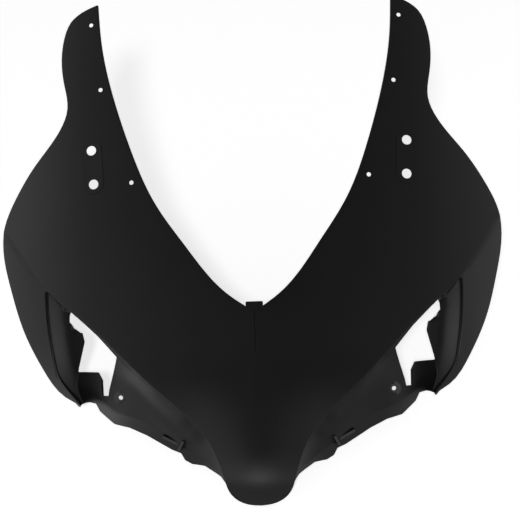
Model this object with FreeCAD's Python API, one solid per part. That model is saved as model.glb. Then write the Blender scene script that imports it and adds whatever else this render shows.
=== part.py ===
# Upper fairing of a motorbike: one moulded shell that carries the windscreen,
# the two mirrors and the headlights. Sizes in millimetres.
import FreeCAD, Part
import math
import os

Vector = FreeCAD.Vector

# Frame: X across the bike, nose towards -Y, Z up, origin on the screen tab.
# The shape is laid out along the mould's draw: x across, s up the face, d back.
draw_tilt = math.radians(25.0)
wall = 3.0
margin = 20.0
inner_margin = 32.0
reach = 420.0

# Centre line of the nose, from the notch under the screen down to the chin
nose_slope = 0.48
nose_radius = 1667.0
chin_start = -119.0
chin_drop = 30.8

# Face to either side of the centre line
keel_slope = 0.14
keel_run = 25.0
keel_top = -30.0
keel_end = -120.0
sweep_radius = 446.0
wrap_start = 150.0
wrap_run = 90.0
wrap_depth = 25.0
beak_radius = 55.5
beak_width = 60.0
beak_top = -57.0
beak_end = -143.0

# Brow: the lower edge of the face, from beyond the shoulder in to the beak
brow_line = [
    (256, 104), (223, 58), (194.5, 23), (160, -5.5), (130, -33), (95, -66.5),
    (61, -97), (45.5, -115.5), (37, -133.5), (32, -149), (28.5, -172),
]

# Headlight pocket: a cove under the brow that runs out into a sunk panel
recess = 27.0
recess_gain = 40.0
recess_from = 115.0
recess_to = 175.0
cove_run = 8.0
cove_start = -3.0
cove_reach = 66.0
panel_lean = 0.25

# Lip: the panel's lower rim, turned back
lip_line = [(164, -70), (148, -78), (134, -90.5), (119, -94), (102, -101), (80, -114), (57, -130), (38, -142)]
lip_fold = 0.9
lip_start = -2.5
lip_reach = 26.0

# Cheek: folds back below the ridge, outside the pocket
ridge_x = 194.5
ridge_s = 23.0
ridge_rise = 1.1
ridge_radius = 167.0
cheek_fold = 0.7
cheek_from = 150.0
cheek_start = -9.0
cheek_drop = 190.0

# Tongue: the pocket's outer wall, from the cheek's inner edge
edge_x = 195.0
edge_s = 20.0
edge_radius = 312.0
edge_corner = 20.0
corner_top = -52.0
corner_run = 48.0
tongue_wall = 14.0
tongue_bend = 12.0
tongue_lean = 1.35
tongue_places = (-60, 0, 8, 22, 60, 170)

# Points that each curved sheet passes through, along and across it
face_grid = (17, 20)
cheek_grid = (7, 9)
cove_grid = (20, 10)
lip_grid = (10, 4)
tongue_rows = 9
end_trim = 0.003

# Outline seen along the draw: screen edge, outer edge, lower edge, chin
notch = (0, 0)
wing_tip = (145.5, 305)
cheek_tip = (166.5, -84.5)
beak_corner = (31, -153.5)
chin_end = (0, -174.5)
screen_edge = [(26, 18), (62, 61.5), (92, 106), (112, 152), (130, 208), (142, 264)]
outer_edge = [
    (161, 298.5), (173, 288.5), (179.5, 273), (182.2, 248), (179.5, 225), (176, 200),
    (184, 178), (209, 145), (229, 114), (241, 87), (243.5, 60), (237, 27),
    (223, -17), (204.5, -51), (185, -75),
]
lower_edge = [
    (160, -83), (153, -84), (149, -91), (134.5, -102), (119.5, -105), (103.5, -112),
    (80, -125.5), (72, -128.5), (68.5, -135), (62, -138.5), (50.5, -139.5), (35.5, -148),
]
chin_edge = [(28, -161), (22, -168), (12, -173)]
chin_lip = 15.0
chin_margin = 60.0

# Headlight window, cut through the pocket along the draw
window = [
    (181, 9.5), (171, 2.5), (147, -19.5), (129.5, -39), (138.5, -69.5), (139.5, -75.5),
    (146.5, -75.5), (147, -61), (151, -54), (166, -54), (163, -26), (164.5, -17.5),
    (175.5, -12), (176, 3),
]

# Mirror pads: flat, just proud of the face, each with two holes along the draw
mirror_x = 150.6
mirror_s = 140.5
mirror_lean = 0.065
mirror_spacing = 33.0
mirror_hole = 9.5
pad_width = 22.0
pad_rise = 0.3
pad_back = 1.5

# Screen holes beside the screen edge, drilled along the draw
screen_holes = [(152, 284), (142.5, 217), (112.7, 124)]
screen_hole = 4.2

# Headlight screw: a dished hole in the panel with a boss behind it
lamp_x = 127.0
lamp_s = -77.0
lamp_hole = 4.2
lamp_dish = 9.0
dish_depth = 1.2
boss_width = 13.0
boss_height = 6.0

# Clip on the panel's rim: a raised strip along it, with a post at the inner end
clip_x = 80.5
clip_s = -116.5
clip_turn = math.radians(28.0)
clip_length = 18.0
clip_width = 3.0
clip_rise = 3.5
post_x = 71.6
post_s = -121.0
post_length = 10.0
post_width = 3.0
post_rise = 5.0

# Tab that holds the middle of the screen, above the notch
tab_width = 16.0
tab_top = 9.2
tab_root = 8.0
tab_wall = 2.4
tab_set = 1.4
tab_seat = 5.5


def smooth(u):
    u = min(1.0, max(0.0, u))
    return u * u * (3 - 2 * u)


def face(x, s):
    chin = max(0.0, chin_start - s)
    roll = chin_drop * (chin / (chin_start - chin_end[1])) ** 3
    centre = nose_slope * s + s * s / (2 * nose_radius) + roll
    fade = smooth((keel_top - s) / (keel_top - keel_end))
    keel = keel_slope * (x - fade * keel_run * (1 - math.exp(-x / keel_run)))
    wrap = wrap_depth * max(0.0, (x - wrap_start) / wrap_run) ** 3
    nose = smooth((beak_top - s) / (beak_top - beak_end))
    beak = nose * x * x / (2 * beak_radius) * math.exp(-(x / beak_width) ** 2)
    return centre + keel + x * x / (2 * sweep_radius) + wrap + beak


def at(x, s, d):
    s = s - tab_seat
    d = d - face(0, 0) - nose_slope * tab_seat - tab_set
    y = d * math.cos(draw_tilt) + s * math.sin(draw_tilt)
    z = s * math.cos(draw_tilt) - d * math.sin(draw_tilt)
    return Vector(x, y, z)


draw = at(0, 0, 1) - at(0, 0, 0)


def ridge(x):
    out = x - ridge_x
    return ridge_s + ridge_rise * out + out * out / (2 * ridge_radius)


def cheek(x, s):
    return face(x, s) + cheek_fold * (ridge(x) - s)


def cheek_edge(s):
    corner = smooth((corner_top - s) / corner_run)
    return edge_x - (edge_s - s) ** 2 / (2 * edge_radius) - edge_corner * corner


def plan_curve(points):
    curve = Part.BSplineCurve()
    curve.interpolate([Vector(x, s, 0) for x, s in points])
    return curve


def beside(curve, t, q):
    p = curve.value(t)
    along = curve.tangent(t)[0]
    return p.x - along.y * q, p.y + along.x * q


brow = plan_curve(brow_line)
lip = plan_curve(lip_line)


def sunk(x, s, q):
    gain = recess_gain * smooth((x - recess_from) / (recess_to - recess_from))
    return face(x, s) + (recess + gain) * (1 - math.exp(-q / cove_run)) + panel_lean * q


def panel(x, s):
    p = Vector(x, s, 0)
    return sunk(x, s, p.distanceToPoint(brow.value(brow.parameter(p))))


def on_face(x, s):
    return at(x, s, face(x, s))


def on_cheek(x, q):
    s = ridge(x) - q
    return at(x, s, cheek(x, s))


def on_tongue(q, s):
    x = cheek_edge(s) - q
    bend = 1 - math.exp(-q / tongue_bend) if q > 0 else q / tongue_bend
    return at(x, s, cheek(x, s) + tongue_lean * q + tongue_wall * bend)


def on_cove(t, q):
    x, s = beside(brow, t, q)
    return at(x, s, sunk(x, s, q))


def on_lip(t, q):
    x, s = beside(lip, t, q)
    return at(x, s, panel(x, s) + lip_fold * q)


def steps(first, last, count, power=1.0):
    return [first + (last - first) * (i / (count - 1)) ** power for i in range(count)]


def along(curve, count):
    end = curve.LastParameter
    return steps(end_trim * end, (1 - end_trim) * end, count)


def back_normal(place, u, v):
    h = 0.001
    du = place(u + h, v) - place(u - h, v)
    dv = place(u, v + h) - place(u, v - h)
    normal = du.cross(dv).normalize()
    return normal if normal.dot(draw) > 0 else normal * -1


def through(points, places):
    curve = Part.BSplineCurve()
    curve.interpolate(Points=points, Parameters=places)
    return curve


def sheet(place, us, vs, inset):
    rows = [[place(u, v) + back_normal(place, u, v) * inset for v in vs] for u in us]
    across = [through(row, vs) for row in rows]
    down = [through(list(column), us) for column in zip(*[c.getPoles() for c in across])]
    poles = [list(row) for row in zip(*[c.getPoles() for c in down])]
    u, v = down[0], across[0]
    surface = Part.BSplineSurface()
    surface.buildFromPolesMultsKnots(
        poles, u.getMultiplicities(), v.getMultiplicities(), u.getKnots(), v.getKnots(), False, False, 3, 3)
    return surface.toShape()


def form(inset, over):
    wide = max(x for x, s in outer_edge) + over
    low = chin_end[1] - over
    high = wing_tip[1] + over
    front = draw * -reach
    body = sheet(on_face, steps(-over, wide, face_grid[0], 1.5), steps(low, high, face_grid[1]), inset)
    drop = steps(cheek_start, cheek_drop + over, cheek_grid[1])
    fold = sheet(on_cheek, steps(cheek_from, wide, cheek_grid[0]), drop, inset)
    away = steps(cove_start, cove_reach, cove_grid[1], 1.7)
    cove = sheet(on_cove, along(brow, cove_grid[0]), away, inset)
    rim = sheet(on_lip, along(lip, lip_grid[0]), steps(lip_start, lip_reach, lip_grid[1]), inset)
    rows = steps(corner_top - 2 * corner_run, corner_top + corner_run, tongue_rows)
    rows = [low - over] + rows + [ridge_s, ridge_s + 2 * over]
    tongue = sheet(on_tongue, tongue_places, rows, inset)
    pocket = cove.extrude(front).fuse(rim.extrude(front)).common(tongue.extrude(front * 2))
    body = body.extrude(draw * (reach + over))
    return body.cut(fold.extrude(front)).cut(pocket)


def spline(points, d):
    curve = Part.BSplineCurve()
    curve.interpolate([at(x, s, d) for x, s in points])
    return curve.toShape()


def chain(points, d):
    return [Part.makeLine(at(*a, d), at(*b, d)) for a, b in zip(points, points[1:])]


def prism(edges, length):
    return Part.Face(Part.Wire(edges)).extrude(draw * length)


def rod(x, s, d, width, length):
    return Part.makeCylinder(width / 2, length, at(x, s, d), draw)


def plate(x, s, d, turn, length, width, thick):
    along = (math.cos(turn) * length / 2, math.sin(turn) * length / 2)
    beyond = (-math.sin(turn) * width / 2, math.cos(turn) * width / 2)
    corners = [
        (x + a * along[0] + b * beyond[0], s + a * along[1] + b * beyond[1])
        for a, b in ((-1, -1), (1, -1), (1, 1), (-1, 1), (-1, -1))
    ]
    return prism(chain(corners, d), thick)


def obround(centre, normal, up, length, width, thick):
    side = up.cross(normal)
    top = up * (length / 2)
    half = side * (width / 2)
    cap = up * (width / 2)
    a, b, c, e = centre + top + half, centre + top - half, centre - top - half, centre - top + half
    edges = [
        Part.Arc(a, centre + top + cap, b).toShape(), Part.makeLine(b, c),
        Part.Arc(c, centre - top - cap, e).toShape(), Part.makeLine(e, a),
    ]
    return Part.Face(Part.Wire(edges)).extrude(normal * thick)


far = -reach / 2

# Mirror pad's own plane, and the places of its two holes
pad_centre = on_face(mirror_x, mirror_s)
pad_normal = back_normal(on_face, mirror_x, mirror_s)
pad_up = on_face(mirror_x + mirror_lean * mirror_spacing, mirror_s + mirror_spacing) - pad_centre
pad_up = (pad_up - pad_normal * pad_up.dot(pad_normal)).normalize()
pad_front = pad_centre - pad_normal * pad_rise
pad_holes = [
    (mirror_x + way * mirror_lean * mirror_spacing / 2, mirror_s + way * mirror_spacing / 2) for way in (-1, 1)
]
pad_length = (on_face(*pad_holes[1]) - on_face(*pad_holes[0])).Length
pad = obround(pad_front, pad_normal, pad_up, pad_length, pad_width, 4 * wall)
pad_stop = obround(pad_front - pad_normal * wall, pad_normal, pad_up, pad_length, pad_width,
                   2 * wall + pad_rise + pad_back)

# Outer form, trimmed to the outline
outline = [spline([notch] + screen_edge + [wing_tip], far)]
outline.append(spline([wing_tip] + outer_edge + [cheek_tip], far))
outline += chain([cheek_tip] + lower_edge + [beak_corner], far)
outline.append(spline([beak_corner] + chin_edge + [chin_end], far))
outline += chain([chin_end, notch], far)
outer = form(0.0, margin)
clip_d = panel(clip_x, clip_s)
clip = plate(clip_x, clip_s, clip_d - clip_rise, clip_turn, clip_length, clip_width, clip_rise + wall)
post_d = panel(post_x, post_s)
post = plate(post_x, post_s, post_d - post_rise, clip_turn, post_width, post_length, post_rise + wall)
outer = outer.fuse(pad).fuse(clip).fuse(post)
outer = outer.common(prism(outline, 2 * reach))

# Inner form, held back where the pad, the screw boss and the chin need wall
inner = form(wall, inner_margin)
chin = plan_curve([beak_corner] + chin_edge + [chin_end])
chin_in = [beside(chin, t, -wall) for t in steps(0, chin.LastParameter, 9)]
below = chin_end[1] - chin_margin
keep = [spline(chin_in, far)]
keep += chain([chin_in[-1], (-chin_margin, chin_in[-1][1]), (-chin_margin, below), (chin_margin, below),
               (chin_margin, chin_in[0][1]), chin_in[0]], far)
chin_back = face(*chin_end) + chin_lip
inner = inner.cut(prism(keep, chin_back - far))
inner = inner.cut(pad_stop)
lamp_d = panel(lamp_x, lamp_s)
inner = inner.cut(rod(lamp_x, lamp_s, far, boss_width, lamp_d + wall + boss_height - far))
half = outer.cut(inner)

# Cuts
half = half.cut(prism(chain(window + window[:1], far), 2 * reach))
for x, s in screen_holes:
    half = half.cut(rod(x, s, far, screen_hole, 2 * reach))
half = half.cut(rod(lamp_x, lamp_s, far, lamp_hole, 2 * reach))
half = half.cut(rod(lamp_x, lamp_s, far, lamp_dish, lamp_d + dish_depth - far))
for x, s in pad_holes:
    half = half.cut(rod(x, s, far, mirror_hole, 2 * reach))

# The other half, and the screen tab across the middle
shell = half.fuse(half.mirror(Vector(0, 0, 0), Vector(1, 0, 0)))
rise = at(0, 1, nose_slope) - at(0, 0, 0)
across = Vector(tab_width / 2, 0, 0)
foot = rise * (-tab_seat - tab_root)
head = rise * (tab_top - tab_seat)
tab = Part.Face(Part.makePolygon([foot - across, foot + across, head + across, head - across, foot - across]))
tab = tab.extrude(Vector(1, 0, 0).cross(rise).normalize() * -tab_wall)
shell = shell.fuse(tab).removeSplitter()
os.makedirs("parts", exist_ok=True)
shell.exportStep("parts/fairing_shell.step")
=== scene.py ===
# %% [markdown]
# # Upper fairing of a motorbike
# The real object is one thin shell of satin black plastic, moulded in one shot.
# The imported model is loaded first: it fixes the size and the place of everything,
# so this lesson only has to give the shell its clean surfaces, edges and finish.

# %% Load the frame
import bpy
import math
import numpy as np
from mathutils import Matrix, Vector


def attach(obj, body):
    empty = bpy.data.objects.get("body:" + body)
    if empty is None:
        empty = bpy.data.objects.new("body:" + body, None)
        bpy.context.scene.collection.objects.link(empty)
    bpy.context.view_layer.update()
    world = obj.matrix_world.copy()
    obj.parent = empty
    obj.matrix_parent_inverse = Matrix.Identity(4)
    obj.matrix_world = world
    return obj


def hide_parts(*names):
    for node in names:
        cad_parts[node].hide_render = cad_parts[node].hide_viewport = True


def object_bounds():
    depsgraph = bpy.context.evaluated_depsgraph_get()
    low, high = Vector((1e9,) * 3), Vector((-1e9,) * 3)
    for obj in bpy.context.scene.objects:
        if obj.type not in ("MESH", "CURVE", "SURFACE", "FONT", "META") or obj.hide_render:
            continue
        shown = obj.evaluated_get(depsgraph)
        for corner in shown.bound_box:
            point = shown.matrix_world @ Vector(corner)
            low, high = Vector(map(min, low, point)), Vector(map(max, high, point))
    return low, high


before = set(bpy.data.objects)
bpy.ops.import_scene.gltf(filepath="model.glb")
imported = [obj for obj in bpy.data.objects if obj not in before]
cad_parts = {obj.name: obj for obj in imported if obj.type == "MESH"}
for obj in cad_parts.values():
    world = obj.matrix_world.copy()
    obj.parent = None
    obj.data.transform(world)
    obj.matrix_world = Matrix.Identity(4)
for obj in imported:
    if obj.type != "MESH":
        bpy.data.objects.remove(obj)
cad_low, cad_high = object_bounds()
mm = 0.001
print("CAD box in mm:", [round(v / mm, 1) for v in (*cad_low, *cad_high)])

# %% [markdown]
# ## The mould's own directions
# A moulded shell is drawn along the way its mould opens. Every point is given by
# three plain lengths in millimetres: x across the bike, s up the mould's face and
# d back along the draw. One helper turns them into the frame's metres.

# %% Draw frame
draw_tilt = math.radians(25.0)
nose_slope = 0.48
tab_seat = 5.5
tab_set = 1.4


def place(x, s, d):
    x, s, d = np.broadcast_arrays(np.asarray(x, float), s, d)
    up = s - tab_seat
    back = d - nose_slope * tab_seat - tab_set
    y = back * math.cos(draw_tilt) + up * math.sin(draw_tilt)
    z = up * math.cos(draw_tilt) - back * math.sin(draw_tilt)
    return np.stack([x, y, z], axis=-1) * mm


draw_way = Vector(place(0, 0, 1) - place(0, 0, 0)).normalized()
print("draw direction:", tuple(round(v, 3) for v in draw_way))

# %% [markdown]
# ## The face
# The big outer face sweeps back to both sides, with a crease down the middle of
# the nose that melts into a rounded beak. It could be sculpted, but a handful of
# radii and slopes describes it, so each depth is worked out from those.

# %% Face depth
nose_radius = 1667.0
chin_start = -119.0
chin_drop = 30.8
keel_slope = 0.14
keel_run = 25.0
keel_top = -30.0
keel_end = -120.0
sweep_radius = 446.0
wrap_start = 150.0
wrap_run = 90.0
wrap_depth = 25.0
beak_radius = 55.5
beak_width = 60.0
beak_top = -57.0
beak_end = -143.0
chin_end = (0.0, -174.5)


def smooth(u):
    u = np.clip(u, 0.0, 1.0)
    return u * u * (3 - 2 * u)


def face_depth(x, s):
    chin = np.maximum(0.0, chin_start - s) / (chin_start - chin_end[1])
    centre = nose_slope * s + s * s / (2 * nose_radius) + chin_drop * chin ** 3
    fade = smooth((keel_top - s) / (keel_top - keel_end))
    keel = keel_slope * (x - fade * keel_run * (1 - np.exp(-x / keel_run)))
    wrap = wrap_depth * np.maximum(0.0, (x - wrap_start) / wrap_run) ** 3
    nose = smooth((beak_top - s) / (beak_top - beak_end))
    beak = nose * x * x / (2 * beak_radius) * np.exp(-(x / beak_width) ** 2)
    return centre + keel + x * x / (2 * sweep_radius) + wrap + beak


print("face at the chin in mm:", round(float(face_depth(*chin_end)), 1))

# %% [markdown]
# ## Guide lines
# A body designer first draws the lines that carry the shape: the screen edge, the
# outer edge, the brow over the headlights and the lip of the sunk panel. Smooth
# lines run through a few points, and straight-sided ones keep their corners.

# %% Line helpers
line_points = 1200


def curve_through(points):
    """A smooth line through the points, as many short steps."""
    p = np.array(points, float)
    t = np.concatenate([[0], np.cumsum(np.linalg.norm(np.diff(p, axis=0), axis=1))])
    gap = np.diff(t)
    bend = np.zeros((len(p), len(p)))
    pull = np.zeros_like(p)
    bend[0, 0] = bend[-1, -1] = 1.0
    for i in range(1, len(p) - 1):
        bend[i, i - 1:i + 2] = gap[i - 1], 2 * (gap[i - 1] + gap[i]), gap[i]
        pull[i] = 6 * ((p[i + 1] - p[i]) / gap[i] - (p[i] - p[i - 1]) / gap[i - 1])
    m = np.linalg.solve(bend, pull)
    at = np.linspace(0, t[-1], line_points)
    i = np.clip(np.searchsorted(t, at) - 1, 0, len(gap) - 1)
    h = gap[i][:, None]
    a = (t[i + 1] - at)[:, None]
    b = (at - t[i])[:, None]
    return ((m[i] * a ** 3 + m[i + 1] * b ** 3) / (6 * h)
            + (p[i] / h - m[i] * h / 6) * a + (p[i + 1] / h - m[i + 1] * h / 6) * b)


def nearest(line, point):
    return int(np.argmin(np.linalg.norm(line - np.array(point, float), axis=1)))


def even(line, cells):
    """The line as cells + 1 evenly spaced points."""
    run = np.concatenate([[0], np.cumsum(np.linalg.norm(np.diff(line, axis=0), axis=1))])
    at = np.linspace(0, run[-1], cells + 1)
    return np.stack([np.interp(at, run, line[:, k]) for k in (0, 1)], axis=1)


def stretch(line, first, last, cells):
    """The part of a line from one place on it to another, evenly spaced."""
    i, j = nearest(line, first), nearest(line, last)
    part = line[i:j + 1] if i < j else line[j:i + 1][::-1]
    part = np.vstack([[first], part[1:-1], [last]])
    return even(part, cells)


def cornered(points, cells):
    """Straight runs that keep their corners, with a number of cells for each run."""
    runs = [even(np.array([a, b], float), n)[:-1] for a, b, n in zip(points, points[1:], cells)]
    return np.vstack(runs + [[points[-1]]])


def joined(*lines):
    return np.vstack([lines[0]] + [line[1:] for line in lines[1:]])


# %% Guide lines of the right half
notch = (0.0, 0.0)
wing_tip = (145.5, 305.0)
wing_corner = (173.0, 288.5)
cheek_tip = (166.5, -84.5)
beak_corner = (31.0, -153.5)
screen_line = curve_through(
    [notch, (26, 18), (62, 61.5), (92, 106), (112, 152), (130, 208), (142, 264), wing_tip])
outer_line = curve_through([
    wing_tip, (161, 298.5), wing_corner, (179.5, 273), (182.2, 248), (179.5, 225), (176, 200),
    (184, 178), (209, 145), (229, 114), (241, 87), (243.5, 60), (237, 27),
    (223, -17), (204.5, -51), (185, -75), cheek_tip])
chin_line = curve_through([beak_corner, (28, -161), (22, -168), (12, -173), chin_end])
brow_line = curve_through([
    (256, 104), (223, 58), (194.5, 23), (160, -5.5), (130, -33), (95, -66.5),
    (61, -97), (45.5, -115.5), (37, -133.5), (32, -149), (28.5, -172)])
lip_line = curve_through([
    (164, -70), (148, -78), (134, -90.5), (119, -94), (102, -101), (80, -114), (57, -130), (38, -142)])
print("screen edge in mm:", round(float(np.linalg.norm(np.diff(screen_line, axis=0), axis=1).sum()), 1))

# %% [markdown]
# ## Depths of the pocket
# Under the brow the face turns sharply back into a cove and runs out into a sunk
# panel. A lip turns back along the panel's lower rim, the cheek folds back below the
# ridge, and a tilted side facet with a steeper plate closes the pocket's outer end.

# %% Pocket and cheek depths
recess = 27.0
recess_gain = 40.0
recess_from = 115.0
recess_to = 175.0
cove_run = 8.0
panel_lean = 0.25
lip_fold = 0.9
ridge_corner = (194.5, 23.0)
ridge_rise = 1.1
ridge_radius = 167.0
cheek_fold = 0.7
edge_x = 195.0
edge_s = 20.0
edge_radius = 312.0
edge_corner = 20.0
corner_top = -52.0
corner_run = 48.0
side_slope = 1.64
side_width = 14.0
side_fall = 0.16
plate_slope = 2.1
plate_round = 1.5


def away_from(line, x, s):
    """Distance from each point to a line."""
    p = np.stack([x, s], axis=-1).reshape(-1, 2)
    gap = np.linalg.norm(p[:, None, :] - line[None, ::2, :], axis=2).min(axis=1)
    return gap.reshape(np.shape(x))


def below_lip(x, s):
    """How far a point lies below the lip line, and 0 above it."""
    p = np.stack([x, s], axis=-1).reshape(-1, 2)
    i = np.linalg.norm(p[:, None, :] - lip_line[None], axis=2).argmin(axis=1)
    i = np.clip(i, 1, len(lip_line) - 2)
    along = lip_line[i + 1] - lip_line[i - 1]
    along /= np.linalg.norm(along, axis=1)[:, None]
    off = p - lip_line[i]
    return np.maximum(0.0, off[:, 1] * along[:, 0] - off[:, 0] * along[:, 1]).reshape(np.shape(x))


def panel_depth(x, s):
    q = away_from(brow_line, x, s)
    gain = recess_gain * smooth((x - recess_from) / (recess_to - recess_from))
    sunk = (recess + gain) * (1 - np.exp(-q / cove_run)) + panel_lean * q
    return face_depth(x, s) + sunk + lip_fold * below_lip(x, s)


def ridge(x):
    out = x - ridge_corner[0]
    return ridge_corner[1] + ridge_rise * out + out * out / (2 * ridge_radius)


def cheek_depth(x, s):
    return face_depth(x, s) + cheek_fold * (ridge(x) - s)


def side_line(s):
    return edge_x - (edge_s - s) ** 2 / (2 * edge_radius)


def cheek_edge(s):
    return side_line(s) - edge_corner * smooth((corner_top - s) / corner_run)


def tongue_depth(x, s):
    """A side facet next to the cheek that breaks into a plate, deeper towards its foot."""
    q = side_line(s) - x
    plate = plate_round * np.log1p(np.exp((q - side_width) / plate_round))
    sunk = side_slope * q - (side_slope - plate_slope) * plate + side_fall * (ridge_corner[1] - s)
    return cheek_depth(x, s) + sunk


halvings = 40


def pocket_crease(s, low=145.0, high=200.0):
    """Where the pocket's outer wall meets its floor, at a height s."""
    low = max(low, float(np.interp(s, brow_line[::-1, 1], brow_line[::-1, 0])))
    for _ in range(halvings):
        x = (low + high) / 2
        floor = panel_depth(np.array([x]), np.array([s]))[0] < tongue_depth(x, s)
        low, high = (x, high) if floor else (low, x)
    return x, s


probe_heights = (0.0, -30.0, -60.0)
probe_places = [round(pocket_crease(s)[0], 1) for s in probe_heights]
print("pocket crease at s =", probe_heights, "lies at x =", probe_places)

# %% [markdown]
# ## Patches
# The shell is built like a car body in clay: four-sided patches that meet along the
# guide lines. A patch starts as Blender's own grid, and each of its points is then
# moved to its place. Neighbours share the points of a line, so they can be welded.

# %% Patch helpers
window = [
    (181, 9.5), (171, 2.5), (147, -19.5), (129.5, -39), (138.5, -69.5), (139.5, -75.5),
    (146.5, -75.5), (147, -61), (151, -54), (166, -54), (163, -26), (164.5, -17.5),
    (175.5, -12), (176, 3),
]


def fill(first, last, left, right, steps=None):
    """Points between two lines and the two sides that join them, row by row."""
    rows, columns = len(left) - 1, len(first) - 1
    u = np.linspace(0, 1, rows + 1) if steps is None else np.array(steps)
    u = u[:, None, None]
    v = np.linspace(0, 1, columns + 1)[None, :, None]
    ruled = (1 - u) * first[None] + u * last[None] + (1 - v) * left[:, None] + v * right[:, None]
    corners = (1 - u) * ((1 - v) * first[0] + v * first[-1]) + u * ((1 - v) * last[0] + v * last[-1])
    return ruled - corners


def patch(name, plan, depth):
    """A grid with its points moved to the plan's places at the given depths."""
    rows, columns = plan.shape[0] - 1, plan.shape[1] - 1
    bpy.ops.object.select_all(action="DESELECT")
    bpy.ops.mesh.primitive_grid_add(x_subdivisions=columns, y_subdivisions=rows, size=2)
    piece = bpy.context.object
    piece.name = name
    spot = np.array([v.co for v in piece.data.vertices])
    i = np.rint((spot[:, 1] + 1) / 2 * rows).astype(int)
    j = np.rint((spot[:, 0] + 1) / 2 * columns).astype(int)
    points = place(plan[i, j, 0], plan[i, j, 1], depth[i, j])
    piece.data.vertices.foreach_set("co", points.ravel())
    print(name, "has", len(piece.data.polygons), "faces")
    return piece


def deep(depth, plan):
    return depth(plan[..., 0], plan[..., 1])


# %% Shared lines
along_panel = 30
along_window = 16
along_ridge = 10
along_wing = 40
down_cheek = 22
across_face = 26
across_wall = 10
over_window = tuple(brow_line[nearest(brow_line, window[3])])
far_off = 1e3
shoulder_from = 200.0
off_ridge = np.abs(outer_line[:, 1] - ridge(outer_line[:, 0]))
off_ridge += far_off * (outer_line[:, 0] < shoulder_from)
shoulder = tuple(outer_line[np.argmin(off_ridge)])
brow_inner = stretch(brow_line, beak_corner, over_window, along_panel)
brow_outer = stretch(brow_line, over_window, ridge_corner, along_window)
ridge_x = np.linspace(ridge_corner[0], shoulder[0], line_points)
ridge_line = np.stack([ridge_x, ridge(ridge_x)], axis=1)
ridge_line = stretch(ridge_line, ridge_corner, shoulder, along_ridge)
wing_line = stretch(outer_line, shoulder, wing_corner, along_wing)
print("the ridge runs out at", [round(float(v), 1) for v in shoulder])

# %% [markdown]
# ## Main face
# One long patch runs from the chin up the nose and out into the wing. Its inner side
# is the centre line and then the screen edge, and its outer side follows the brow,
# the ridge and the outer edge, so that the rows of faces flow with the form.

# %% Main face patch
brow_end_height = 36.0
centre_side = even(np.array([chin_end, notch]), along_panel)
heights = (brow_end_height, shoulder[1])
screen_marks = [tuple(screen_line[np.argmin(np.abs(screen_line[:, 1] - h))]) for h in heights]
inner_side = joined(
    centre_side,
    stretch(screen_line, notch, screen_marks[0], along_window),
    stretch(screen_line, screen_marks[0], screen_marks[1], along_ridge),
    stretch(screen_line, screen_marks[1], wing_tip, along_wing))
outer_side = joined(brow_inner, brow_outer, ridge_line, wing_line)
chin_side = even(chin_line, across_face)[::-1]
top_side = stretch(outer_line, wing_tip, wing_corner, across_face)
face_plan = fill(chin_side, top_side, inner_side, outer_side)
main_face = patch("main_face", face_plan, deep(face_depth, face_plan))

# %% [markdown]
# ## Chin lip
# Along the chin the wall turns straight back, along the draw, which stiffens the tip
# of the nose. The patch hangs from the first row of the main face.

# %% Chin lip patch
chin_lip = 15.0
chin_rows = 4
chin_back = face_depth(*chin_end) + chin_lip
chin_plan = np.repeat(face_plan[:1], chin_rows + 1, axis=0)
chin_fade = np.linspace(0, 1, chin_rows + 1)[:, None]
chin_front = deep(face_depth, face_plan[0])[None]
chin_wall = patch("chin_wall", chin_plan, chin_front * (1 - chin_fade) + chin_back * chin_fade)

# %% [markdown]
# ## Cheek
# Below the ridge the side of the shell folds back and narrows to a tip. The patch
# closes to a point there, which the weld turns into a neat fan.

# %% Cheek patch
edge_heights = np.linspace(ridge_corner[1], cheek_tip[1], line_points)
pocket_edge = np.stack([cheek_edge(edge_heights), edge_heights], axis=1)
ends = np.array([ridge_corner[0] - pocket_edge[0, 0], cheek_tip[0] - pocket_edge[-1, 0]])
pocket_edge[:, 0] += np.linspace(ends[0], ends[1], line_points)
pocket_edge = even(pocket_edge, down_cheek)
cheek_outer = stretch(outer_line, shoulder, cheek_tip, down_cheek)
cheek_point = np.repeat([cheek_tip], along_ridge + 1, axis=0)
cheek_plan = fill(ridge_line, cheek_point, pocket_edge, cheek_outer)
cheek = patch("cheek", cheek_plan, deep(cheek_depth, cheek_plan))

# %% [markdown]
# ## Sunk panel and lip
# The panel hangs from the brow. Its first rows lie close together, because the cove
# under the brow is the tightest bend of the whole shell. The lip has its own patch
# below the fold line, so the fold stays crisp.

# %% Fold line
lip_end = (143.5, -81.5)
lower_corner = (149.0, -91.0)
lower_edge = [
    beak_corner, (35.5, -148), (50.5, -139.5), (62, -138.5), (68.5, -135), (72, -128.5),
    (80, -125.5), (103.5, -112), (119.5, -105), (134.5, -102), lower_corner,
]
lower_cells = (2, 4, 3, 1, 2, 2, 6, 4, 3, 3)
fold_steps = 100
fold_pull = 0.02
lower_line = cornered(lower_edge, lower_cells)
fold_path = np.vstack([even(np.array([beak_corner, lip_line[-1]]), fold_steps)[:-1], lip_line[::-1]])


def on_fold(top, bottom):
    """Where the line from a brow point to its lower edge point crosses the fold."""
    way = (bottom - top) / np.linalg.norm(bottom - top)
    off = np.abs((fold_path - top) @ np.array([-way[1], way[0]]))
    far = np.linalg.norm(fold_path - bottom, axis=1)
    return fold_path[np.argmin(off + fold_pull * far)]


fold_line = np.array([on_fold(t, b) for t, b in zip(brow_inner[1:-1], lower_line[1:-1])])
fold_line = np.vstack([[beak_corner], fold_line, [lip_end]])
print("fold line:", len(fold_line), "points")

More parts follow.
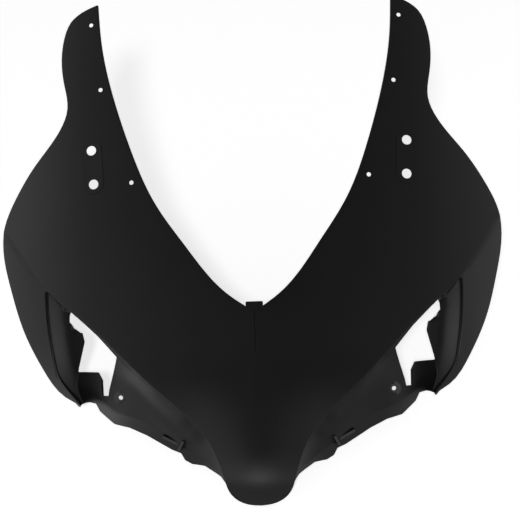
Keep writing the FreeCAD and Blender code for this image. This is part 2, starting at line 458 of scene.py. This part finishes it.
# %% Sunk panel patch
panel_cells = (5, 1, 3)
cove_share = 0.24
cove_ease = 1.2
panel_side = cornered(
    [over_window, window[3], window[4], window[5], lip_end], (across_wall, *panel_cells))
cove_rows = cove_share * np.linspace(0, 1, across_wall, endpoint=False) ** cove_ease
panel_rows = np.concatenate([cove_rows, np.linspace(cove_share, 1, sum(panel_cells) + 1)])
beak_point = np.repeat([beak_corner], len(panel_rows), axis=0)
panel_plan = fill(brow_inner, fold_line, beak_point, panel_side, panel_rows)
panel_deep = deep(panel_depth, panel_plan)
panel_deep[0] = deep(face_depth, brow_inner)
panel_deep[:, 0] = panel_deep[0, 0]
panel = patch("sunk_panel", panel_plan, panel_deep)

# %% Panel lip patch
lip_rows = 3
lip_side = cornered([lip_end, lower_corner], (lip_rows,))
lip_plan = fill(fold_line, lower_line, beak_point[:lip_rows + 1], lip_side)
lip_deep = deep(panel_depth, lip_plan)
lip_deep[0] = panel_deep[-1]
lip_deep[:, 0] = panel_deep[0, 0]
lip = patch("panel_lip", lip_plan, lip_deep)

# %% [markdown]
# ## Round the window
# The headlight looks out of a window in the pocket. Three more patches frame it: the
# return under the brow, the outer wall and the lug below with its bar.

# %% Crease of the pocket
crease_steps = 60
crease_start = 15.0
wall_span = (-12.0, 3.0)
wall_line = (window[12][0], window[13][0])
side_cells = (2, 4, 3, 7)
wall_top = min(
    (pocket_crease(s) for s in np.linspace(wall_span[1], wall_span[0], crease_steps + 1)),
    key=lambda p: abs(p[0] - np.interp(p[1], wall_span, wall_line)))
lug_corner = pocket_crease(window[9][1])
meets = [abs(pocket_crease(s)[0] - x) + far_off * (s > lug_corner[1]) for x, s in pocket_edge]
foot_at = int(np.argmin(meets))
foot = tuple(pocket_edge[foot_at])
crease_top = np.array([pocket_crease(s) for s in np.linspace(crease_start, wall_top[1], crease_steps)])
crease_top = even(np.vstack([[ridge_corner], crease_top]), across_wall)
crease_low = np.array([pocket_crease(s) for s in np.linspace(lug_corner[1], foot[1], crease_steps)])
crease_low[:, 0] += np.linspace(0, foot[0] - crease_low[-1, 0], crease_steps)
crease_low = even(crease_low, foot_at - sum(side_cells))
print("the pocket's crease ends at", [round(float(v), 1) for v in foot])

# %% Return under the brow
top_cells = (5, 5, 2, 2, 2)
window_top = cornered([window[3], window[2], window[1], window[0], window[13], wall_top], top_cells)
brow_side = even(np.array([over_window, window[3]]), across_wall)
under_brow_plan = fill(brow_outer, window_top, brow_side, crease_top)
under_brow_deep = deep(panel_depth, under_brow_plan)
under_brow_deep[0] = deep(face_depth, brow_outer)
under_brow_deep[:, -1] = deep(tongue_depth, crease_top)
under_brow_deep[0, -1] = face_depth(*ridge_corner)
under_brow = patch("under_brow", under_brow_plan, under_brow_deep)

# %% Outer wall
window_side = cornered([wall_top, window[12], window[11], window[10], lug_corner], side_cells)
wall_side = joined(window_side, crease_low)
wall_foot = np.repeat([foot], across_wall + 1, axis=0)
wall_plan = fill(crease_top, wall_foot, pocket_edge[:foot_at + 1], wall_side)
wall_deep = deep(tongue_depth, wall_plan)
outer_wall = patch("outer_wall", wall_plan, wall_deep)

# %% Lug below the window
heel = (160.0, -83.0)
toe = (153.0, -84.0)
lug_cells = (2, 3, 2, 3)
foot_cells = (4, 3, 3)
lug_top = cornered([window[5], window[6], window[7], window[8], lug_corner], lug_cells)
lug_foot = cornered([lower_corner, toe, heel, cheek_tip], foot_cells)
lug_side = joined(cornered([window[5], lip_end], panel_cells[-1:]), lip_side)
lug_right = joined(crease_low, pocket_edge[foot_at:])
lug_plan = fill(lug_top, lug_foot, lug_side, lug_right)
lug_deep = deep(panel_depth, lug_plan)
lug_deep[:len(crease_low), -1] = deep(tongue_depth, crease_low)
lug = patch("lug", lug_plan, lug_deep)

# %% [markdown]
# ## Cheek return
# At the cheek's inner edge the wall turns straight back, along the draw, down to the
# side facet and the pocket's floor. Seen from the front it is only a fine dark line.

# %% Cheek return patch
return_rows = 3
return_plan = np.repeat(pocket_edge[None], return_rows + 1, axis=0)
return_front = deep(cheek_depth, pocket_edge)
return_back = np.concatenate([wall_deep[:, 0], lug_deep[len(crease_low):, -1]])
return_fade = np.linspace(0, 1, return_rows + 1)[:, None]
return_deep = return_front * (1 - return_fade) + return_back * return_fade
cheek_return = patch("cheek_return", return_plan, return_deep)

# %% [markdown]
# ## One skin
# The patches are joined and their shared points merged, which leaves one open skin
# for the right half. A mirror then gives the left half. The normals are made to agree
# before the wall gets its thickness, and they have to look out to the front.

# %% Weld and mirror
weld_gap = 0.02 * mm


def choose(piece):
    """Selects one object alone and makes it the active one."""
    bpy.ops.object.select_all(action="DESELECT")
    piece.select_set(True)
    bpy.context.view_layer.objects.active = piece


def finish_with(piece, kind, **settings):
    """Adds a modifier with its settings and applies it."""
    choose(piece)
    modifier = piece.modifiers.new(kind.lower(), kind)
    for key, value in settings.items():
        setattr(modifier, key, value)
    bpy.ops.object.modifier_apply(modifier=modifier.name)


choose(main_face)
for piece in (chin_wall, cheek, panel, lip, under_brow, outer_wall, lug, cheek_return):
    piece.select_set(True)
bpy.ops.object.join()
shell = bpy.context.object
shell.name = "fairing_skin"
bpy.ops.object.mode_set(mode="EDIT")
bpy.ops.mesh.select_all(action="SELECT")
bpy.ops.mesh.remove_doubles(threshold=weld_gap)
bpy.ops.mesh.dissolve_degenerate(threshold=weld_gap)
bpy.ops.mesh.normals_make_consistent(inside=False)
bpy.ops.object.mode_set(mode="OBJECT")
looks_back = sum(p.area * p.normal.dot(draw_way) for p in shell.data.polygons) > 0
if looks_back:
    shell.data.flip_normals()
finish_with(shell, "MIRROR", merge_threshold=weld_gap, use_clip=True)
print("skin:", len(shell.data.vertices), "points,", len(shell.data.polygons), "faces")

# %% [markdown]
# ## Wall and edges
# Such a shell is moulded with an even wall of about 3 mm. Solidify gives it that
# thickness to the back, and a small bevel breaks every sharp edge, because a moulded
# edge always has a little round that catches the light.

# %% Wall and edges
wall = 3.0 * mm
edge_round = 0.6 * mm
edge_angle = math.radians(33)
finish_with(shell, "SOLIDIFY", thickness=wall, offset=-1.0, use_even_offset=False, use_quality_normals=True)
finish_with(shell, "BEVEL", width=edge_round, segments=2, limit_method="ANGLE",
            angle_limit=edge_angle, use_clamp_overlap=False, loop_slide=True)
print("shell:", len(shell.data.polygons), "faces")

# %% [markdown]
# ## Raised details
# The mirrors are bolted to two flat pads, a clip holds the headlight's rim and a boss
# behind the panel takes its screw. On the real shell they are part of the same
# moulding, so each starts as a primitive, is shaped, mirrored and fused to the wall.

# %% Helpers for details
round_steps = 64


def pick(piece, test):
    """Opens a piece in edit mode with only the points selected that pass the test."""
    choose(piece)
    bpy.ops.object.mode_set(mode="EDIT")
    bpy.ops.mesh.select_mode(type="VERT")
    bpy.ops.mesh.select_all(action="DESELECT")
    bpy.ops.object.mode_set(mode="OBJECT")
    for point in piece.data.vertices:
        point.select = test(point.co)
    bpy.ops.object.mode_set(mode="EDIT")


def shift(piece, test, way):
    pick(piece, test)
    bpy.ops.transform.translate(value=way)
    bpy.ops.object.mode_set(mode="OBJECT")


def soften(piece, test, radius, segments=2):
    pick(piece, test)
    bpy.ops.mesh.bevel(offset=radius, segments=segments, affect="EDGES")
    bpy.ops.object.mode_set(mode="OBJECT")


def stand(piece, origin, up, out):
    """Turns a flat-made piece so that its Y runs up and its Z out, and moves it to its place."""
    turn = Matrix((up.cross(out), up, out)).transposed().to_4x4()
    piece.matrix_world = Matrix.Translation(origin) @ turn
    choose(piece)
    bpy.ops.object.transform_apply(location=True, rotation=True, scale=True)
    return piece


def disc(width, front, back):
    """A round plate with its axis along Z, from the front height down to the back one."""
    bpy.ops.object.select_all(action="DESELECT")
    bpy.ops.mesh.primitive_cylinder_add(
        vertices=round_steps, radius=width / 2, depth=front - back,
        location=(0, 0, (front + back) / 2), rotation=(0, 0, math.pi / round_steps))
    bpy.ops.object.transform_apply(location=True, rotation=True, scale=True)
    return bpy.context.object


def block(width, height, front, back):
    """A flat block across X and Y, from the front height down to the back one."""
    bpy.ops.object.select_all(action="DESELECT")
    bpy.ops.mesh.primitive_cube_add(size=1, location=(0, 0, (front + back) / 2))
    bpy.context.object.scale = (width, height, front - back)
    bpy.ops.object.transform_apply(location=True, rotation=True, scale=True)
    return bpy.context.object


def both_sides(*pieces):
    """Joins the pieces and gives them their mirror images on the left."""
    choose(pieces[0])
    for piece in pieces[1:]:
        piece.select_set(True)
    if len(pieces) > 1:
        bpy.ops.object.join()
    finish_with(pieces[0], "MIRROR")
    return pieces[0]


def work(tool, operation):
    finish_with(shell, "BOOLEAN", operation=operation, object=tool, solver="EXACT")
    bpy.data.objects.remove(tool)
    print(operation.lower(), "leaves", len(shell.data.polygons), "faces")


# %% Mirror pads
mirror = (150.6, 140.5)
mirror_lean = 0.065
mirror_spacing = 33.0
mirror_hole = 9.5 * mm
pad_width = 22.0 * mm
pad_rise = 0.3 * mm
pad_back = 1.5 * mm
pad_round = 0.2 * mm


def on_face(x, s):
    return Vector(place(x, s, face_depth(x, s)))


def face_out(x, s, step=0.01):
    """The way that the face looks at a place on it."""
    across = on_face(x + step, s) - on_face(x - step, s)
    out = across.cross(on_face(x, s + step) - on_face(x, s - step)).normalized()
    return -out if out.dot(draw_way) > 0 else out


half_spacing = mirror_spacing / 2
mirror_spots = [
    (mirror[0] + way * mirror_lean * half_spacing, mirror[1] + way * half_spacing) for way in (-1, 1)]
pad_out = face_out(*mirror)
pad_up = on_face(*mirror_spots[1]) - on_face(*mirror_spots[0])
half_length = pad_up.length / 2
pad_up = (pad_up - pad_out * pad_up.dot(pad_out)).normalized()
pad = disc(pad_width, 0.0, -(wall + pad_rise + pad_back))
shift(pad, lambda p: p.y > 0, (0, half_length, 0))
shift(pad, lambda p: p.y < 0, (0, -half_length, 0))
soften(pad, lambda p: p.z > -pad_round, pad_round)
stand(pad, on_face(*mirror) + pad_out * pad_rise, pad_up, pad_out)
print("mirror pad is", round((2 * half_length + pad_width) / mm, 1), "mm long")

# %% Clip and screw boss
clip = (80.5, -116.5)
clip_turn = math.radians(28.0)
clip_length = 18.0 * mm
clip_width = 3.0 * mm
clip_rise = 3.5 * mm
post = (71.6, -121.0)
post_length = 10.0 * mm
post_width = 3.0 * mm
post_rise = 5.0 * mm
clip_round = 0.5 * mm
lamp_screw = (127.0, -77.0)
lamp_hole = 4.2 * mm
lamp_dish = 9.0 * mm
dish_depth = 1.2 * mm
boss_width = 13.0 * mm
boss_height = 6.0 * mm
front_way = -draw_way
up_way = Vector(place(0, 1, 0) - place(0, 0, 0)).normalized()
clip_up = Matrix.Rotation(-clip_turn, 3, draw_way) @ up_way


def on_panel(x, s):
    spot = np.array([x]), np.array([s])
    return Vector(place(x, s, panel_depth(*spot)[0]))


clip_bar = block(clip_length, clip_width, clip_rise, -wall)
soften(clip_bar, lambda p: p.z > 0, clip_round)
stand(clip_bar, on_panel(*clip), clip_up, front_way)
clip_post = block(post_width, post_length, post_rise, -wall)
soften(clip_post, lambda p: p.z > 0, clip_round)
stand(clip_post, on_panel(*post), clip_up, front_way)
boss = stand(disc(boss_width, -wall / 2, -wall - boss_height), on_panel(*lamp_screw), up_way, front_way)
work(both_sides(pad), "UNION")
work(both_sides(clip_bar), "UNION")
work(both_sides(clip_post, boss), "UNION")

# %% Screen tab
tab_width = 16.0 * mm
tab_top = 9.2
tab_root = 8.0
tab_wall = 2.4 * mm
tab_corner = 1.5 * mm
tab_segments = 4
tab_rise = Vector(place(0, 1, nose_slope) - place(0, 0, 0))
tab_up = tab_rise.normalized()
tab_out = Vector((1, 0, 0)).cross(tab_up)
tab_height = tab_rise.length * (tab_top + tab_root)
tab = block(tab_width, tab_height, 0.0, -tab_wall)
pick(tab, lambda p: p.y > 0)
bpy.ops.mesh.select_mode(type="EDGE")
bpy.ops.object.mode_set(mode="OBJECT")
for edge in tab.data.edges:
    ends = [tab.data.vertices[i].co for i in edge.vertices]
    edge.select = ends[0].y > 0 and ends[1].y > 0 and abs(ends[0].z - ends[1].z) > tab_wall / 2
bpy.ops.object.mode_set(mode="EDIT")
bpy.ops.mesh.bevel(offset=tab_corner, segments=tab_segments, affect="EDGES")
bpy.ops.object.mode_set(mode="OBJECT")
stand(tab, tab_rise * ((tab_top - tab_root) / 2 - tab_seat), tab_up, tab_out)
work(tab, "UNION")

# %% [markdown]
# ## Seam under the tab
# The crease starts as a fine dark line right below the tab. It could be painted, but a
# real groove keeps its shadow under any light, so a thin square bar, turned on its
# edge, is laid along the crease and cut out of the face.

# %% Seam under the tab
seam_top = -2.0
seam_end = -36.0
seam_width = 1.8 * mm
seam_ends = [on_face(0.0, s) for s in (seam_end, seam_top)]
seam_up = (seam_ends[1] - seam_ends[0]).normalized()
on_edge = Matrix.Rotation(math.radians(45), 3, seam_up)
seam_out = on_edge @ Vector((1, 0, 0)).cross(seam_up)
seam_side = seam_width / math.sqrt(2)
seam = block(seam_side, (seam_ends[1] - seam_ends[0]).length, seam_side / 2, -seam_side / 2)
stand(seam, (seam_ends[0] + seam_ends[1]) / 2, seam_up, seam_out)
work(seam, "DIFFERENCE")

# %% [markdown]
# ## Holes
# The holes are cut last, along the draw, where the mould has its pins: two in each mirror
# pad, three along each screen edge, and a dished screw hole in each sunk panel.

# %% Cut the holes
screen_holes = ((152.0, 284.0), (142.5, 217.0), (112.7, 124.0))
screen_hole = 4.2 * mm
pin = 25.0 * mm
pins = []
for spot in mirror_spots:
    pins.append(stand(disc(mirror_hole, pin, -pin), on_face(*spot), up_way, front_way))
for spot in screen_holes:
    pins.append(stand(disc(screen_hole, pin, -pin), on_face(*spot), up_way, front_way))
work(both_sides(*pins), "DIFFERENCE")
dish = stand(disc(lamp_dish, pin, -dish_depth), on_panel(*lamp_screw), up_way, front_way)
work(both_sides(dish), "DIFFERENCE")
screw_pin = stand(disc(lamp_hole, pin, -pin), on_panel(*lamp_screw), up_way, front_way)
work(both_sides(screw_pin), "DIFFERENCE")

# %% [markdown]
# ## Smooth shading
# The shell is polished in the mould, so its faces are shaded as one smooth skin. Only
# the crease under the tab stays a crisp line, which fades where the beak begins.

# %% Crease and smooth shading
crease_end = -62.0
smooth_angle = math.radians(40)


def on_crease(point):
    return abs(point.x) < weld_gap and crease_end < point.dot(up_way) / mm + tab_seat < 0


pick(shell, on_crease)
bpy.ops.mesh.mark_sharp()
bpy.ops.object.mode_set(mode="OBJECT")
choose(shell)
bpy.ops.object.shade_smooth_by_angle(angle=smooth_angle, keep_sharp_edges=True)
finish_with(shell, "WEIGHTED_NORMAL", keep_sharp=True)
print("sharp edges:", sum(edge.use_edge_sharp for edge in shell.data.edges))

# %% [markdown]
# ## Black plastic
# The shell is moulded in black ABS with a satin skin. The eye sees a deep, slightly
# warm black whose soft sheen brightens where the surface turns away, and from close
# by a fine leather-like grain that the mould's etched steel leaves behind.

# %% Material: satin moulded ABS
def linear(hex_code):
    """An sRGB hex colour as linear values."""
    parts = [int(hex_code[i:i + 2], 16) / 255 for i in (1, 3, 5)]
    return tuple(c / 12.92 if c <= 0.04045 else ((c + 0.055) / 1.055) ** 2.4 for c in parts) + (1.0,)


def add_node(tree, kind, settings=None, links=None):
    """Adds a node, sets its properties or sockets, and links its inputs."""
    node = tree.nodes.new(kind)
    for key, value in (settings or {}).items():
        if isinstance(key, int) or key in node.inputs:
            node.inputs[key].default_value = value
        else:
            setattr(node, key, value)
    for key, source in (links or {}).items():
        tree.links.new(source, node.inputs[key])
    return node


grain_size = 0.9 * mm
patch_size = 70 * mm
grain_height = 0.02 * mm
grain_strength = 0.35
satin = (0.36, 0.46)


def satin_abs():
    material = bpy.data.materials.new("satin_moulded_abs")
    material.use_nodes = True
    tree = material.node_tree
    tree.nodes.clear()
    spot = add_node(tree, "ShaderNodeTexCoord").outputs["Object"]
    grain = add_node(
        tree, "ShaderNodeTexNoise", {"Scale": 1 / grain_size, "Detail": 3.0}, {"Vector": spot})
    cloud = add_node(
        tree, "ShaderNodeTexNoise", {"Scale": 1 / patch_size, "Detail": 2.0}, {"Vector": spot})
    gloss = add_node(
        tree, "ShaderNodeMapRange", {"To Min": satin[0], "To Max": satin[1]},
        {"Value": cloud.outputs["Fac"]})
    bump = add_node(
        tree, "ShaderNodeBump", {"Strength": grain_strength, "Distance": grain_height},
        {"Height": grain.outputs["Fac"]})
    skin = add_node(
        tree, "ShaderNodeBsdfPrincipled",
        {"Base Color": linear("#121213"), "IOR": 1.5, "Metallic": 0.0},
        {"Roughness": gloss.outputs["Result"], "Normal": bump.outputs["Normal"]})
    add_node(tree, "ShaderNodeOutputMaterial", None, {"Surface": skin.outputs["BSDF"]})
    return material


shell.data.materials.clear()
shell.data.materials.append(satin_abs())
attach(shell, "root")
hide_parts("fairing_shell")
print("finish:", shell.data.materials[0].name)

# %% [markdown]
# ## Floor and light
# The shell stands on white paper. Black plastic shows what it mirrors more than its own
# colour: the big face looks up, so the room overhead is dim, and the cheeks and panels
# look down at the paper, which is painted a little greyer in reflections only, a painted
# shade. Two soft pools of light are painted on it as glow that only reflections show,
# about white in the middle; these painted highlights brighten the left brow and the pockets.

# %% Floor
floor_size = 12.0
paper_glow = 0.62
# Painted pools of light: glow on the paper that only reflections show, a painted highlight on the shell.
near_painted_pool = {"centre": (-0.27, 0.01, 0.0), "reach": 0.18, "glow": 0.75}
front_painted_pool = {"centre": (0.12, -0.85, 0.0), "reach": 0.7, "glow": 0.75}


def painted_pool(tree, spot, centre, reach, glow):
    """A round patch of painted light on the paper that fades to its rim."""
    gap = add_node(tree, "ShaderNodeVectorMath", {"operation": "DISTANCE", 1: centre}, {0: spot})
    fade = add_node(
        tree, "ShaderNodeMapRange",
        {"interpolation_type": "SMOOTHSTEP", "From Max": reach, "To Min": glow, "To Max": 0.0},
        {"Value": gap.outputs["Value"]})
    return fade.outputs[0]


def white_paper():
    """Paper that looks white and takes a shadow, with painted shade that makes it greyer in reflections and
    two painted pools of light.
    """
    material = bpy.data.materials.new("white_paper")
    material.use_nodes = True
    tree = material.node_tree
    tree.nodes.clear()
    rays = add_node(tree, "ShaderNodeLightPath").outputs
    # Painted shade: the paper's colour is greyer in reflections only, white everywhere else.
    paper_tone_and_painted_shade = add_node(
        tree, "ShaderNodeMapRange", {"To Min": linear("#F4F4F4")[0], "To Max": linear("#CECECE")[0]},
        {"Value": rays["Is Glossy Ray"]})
    paper = add_node(tree, "ShaderNodeBsdfDiffuse", None, {"Color": paper_tone_and_painted_shade.outputs[0]})
    spot = add_node(tree, "ShaderNodeTexCoord").outputs["Object"]
    pools = add_node(tree, "ShaderNodeMath", {"operation": "ADD"},
                     {0: painted_pool(tree, spot, **near_painted_pool), 1: painted_pool(tree, spot, **front_painted_pool)})
    # The painted pools of light are added only where the paper is seen in a reflection.
    painted_pool_light = add_node(tree, "ShaderNodeMath", {"operation": "MULTIPLY"},
                     {0: pools.outputs[0], 1: rays["Is Glossy Ray"]})
    glow = add_node(tree, "ShaderNodeMath", {"operation": "MULTIPLY_ADD", 1: paper_glow},
                    {0: rays["Is Camera Ray"], 2: painted_pool_light.outputs[0]})
    lift = add_node(tree, "ShaderNodeEmission", {"Color": linear("#FFFFFF")}, {"Strength": glow.outputs[0]})
    both = add_node(tree, "ShaderNodeAddShader", None, {0: paper.outputs[0], 1: lift.outputs[0]})
    add_node(tree, "ShaderNodeOutputMaterial", None, {"Surface": both.outputs[0]})
    return material


bpy.ops.object.select_all(action="DESELECT")
bpy.ops.mesh.primitive_plane_add(size=floor_size, location=(0, 0, cad_low[2]))
floor = bpy.context.object
floor.name = "floor"
floor.data.materials.append(white_paper())
print("floor at z =", round(cad_low[2] / mm, 1), "mm")

# %% Room
room_level = 0.27
front_level = 1.6
front_focus = 5.0
left_level = 0.36
dark_from = 0.55
dark_to = 0.9


def front_lit_room():
    """A room that is bright in front, a little brighter on the left, and dark overhead."""
    world = bpy.data.worlds.new("front_lit_room")
    world.use_nodes = True
    tree = world.node_tree
    tree.nodes.clear()
    way = add_node(tree, "ShaderNodeTexCoord").outputs["Generated"]
    parts = add_node(tree, "ShaderNodeSeparateXYZ", None, {0: way}).outputs
    ahead = add_node(tree, "ShaderNodeMapRange", {"From Max": -1.0}, {"Value": parts["Y"]})
    lobe = add_node(tree, "ShaderNodeMath", {"operation": "POWER", 1: front_focus}, {0: ahead.outputs[0]})
    front = add_node(
        tree, "ShaderNodeMath", {"operation": "MULTIPLY_ADD", 1: front_level, 2: room_level},
        {0: lobe.outputs[0]})
    left = add_node(
        tree, "ShaderNodeMapRange", {"From Max": -1.0, "To Max": left_level}, {"Value": parts["X"]})
    sides = add_node(
        tree, "ShaderNodeMath", {"operation": "ADD"}, {0: front.outputs[0], 1: left.outputs[0]})
    fade = add_node(
        tree, "ShaderNodeMapRange",
        {"interpolation_type": "SMOOTHSTEP", "From Min": dark_from, "From Max": dark_to,
         "To Min": 1.0, "To Max": 0.0},
        {"Value": parts["Z"]})
    strength = add_node(
        tree, "ShaderNodeMath", {"operation": "MULTIPLY"}, {0: sides.outputs[0], 1: fade.outputs[0]})
    room = add_node(
        tree, "ShaderNodeBackground", {"Color": linear("#FFFFFF")}, {"Strength": strength.outputs[0]})
    white = add_node(tree, "ShaderNodeBackground", {"Color": linear("#FFFFFF"), "Strength": 1.0})
    seen = add_node(tree, "ShaderNodeLightPath").outputs["Is Camera Ray"]
    mix = add_node(tree, "ShaderNodeMixShader", None, {0: seen, 1: room.outputs[0], 2: white.outputs[0]})
    add_node(tree, "ShaderNodeOutputWorld", None, {"Surface": mix.outputs[0]})
    return world


bpy.context.scene.world = front_lit_room()
print("room:", bpy.context.scene.world.name)

# %% [markdown]
# ## Lamp
# One soft box stands far behind the camera, a little to the left and higher up. Its
# shadow falls on the paper to the right of the shell, as in the photograph.

# %% Lamp
def soft_lamp(name, where, aim, size, power):
    """A round soft box that lights the scene but leaves no round spot on the shell."""
    data = bpy.data.lights.new(name, "AREA")
    data.shape = "DISK"
    data.size = size
    data.energy = power
    lamp = bpy.data.objects.new(name, data)
    bpy.context.scene.collection.objects.link(lamp)
    lamp.location = where
    lamp.rotation_euler = (Vector(aim) - Vector(where)).to_track_quat("-Z", "Y").to_euler()
    lamp.visible_glossy = False
    return lamp


box_size = 0.34
box_power = 180.0
box_gap = 6.0
box_offset = Vector((-0.22, 0, 0.11))
middle = Vector((0, 0.1, 0))
soft_lamp("front_box", middle - draw_way * box_gap + box_offset, middle, box_size, box_power)

# %% [markdown]
# ## Camera
# The photograph looks along the draw, 25 degrees above the level, from well back, so
# the lens is long. The bike's shell stands a little turned in the picture, so the
# camera is rolled by the same small angle.

# %% Camera
image_px = 520
mm_per_px = 0.915
camera_gap = 2600.0
picture_centre = (6.7, 46.4)
picture_roll = math.radians(2.0)
sensor = 36.0
camera_data = bpy.data.cameras.new("camera")
camera_data.sensor_width = sensor
camera_data.lens = sensor * camera_gap / (image_px * mm_per_px)
camera = bpy.data.objects.new("camera", camera_data)
bpy.context.scene.collection.objects.link(camera)
aim = Vector(place(*picture_centre, 0.0))
camera.location = aim - draw_way * camera_gap * mm
look = draw_way.to_track_quat("-Z", "Y")
camera.rotation_euler = (look.to_matrix() @ Matrix.Rotation(-picture_roll, 3, "Z")).to_euler()
bpy.context.scene.camera = camera
bpy.context.scene.view_settings.view_transform = "Standard"
print("lens:", round(camera_data.lens, 1), "mm")
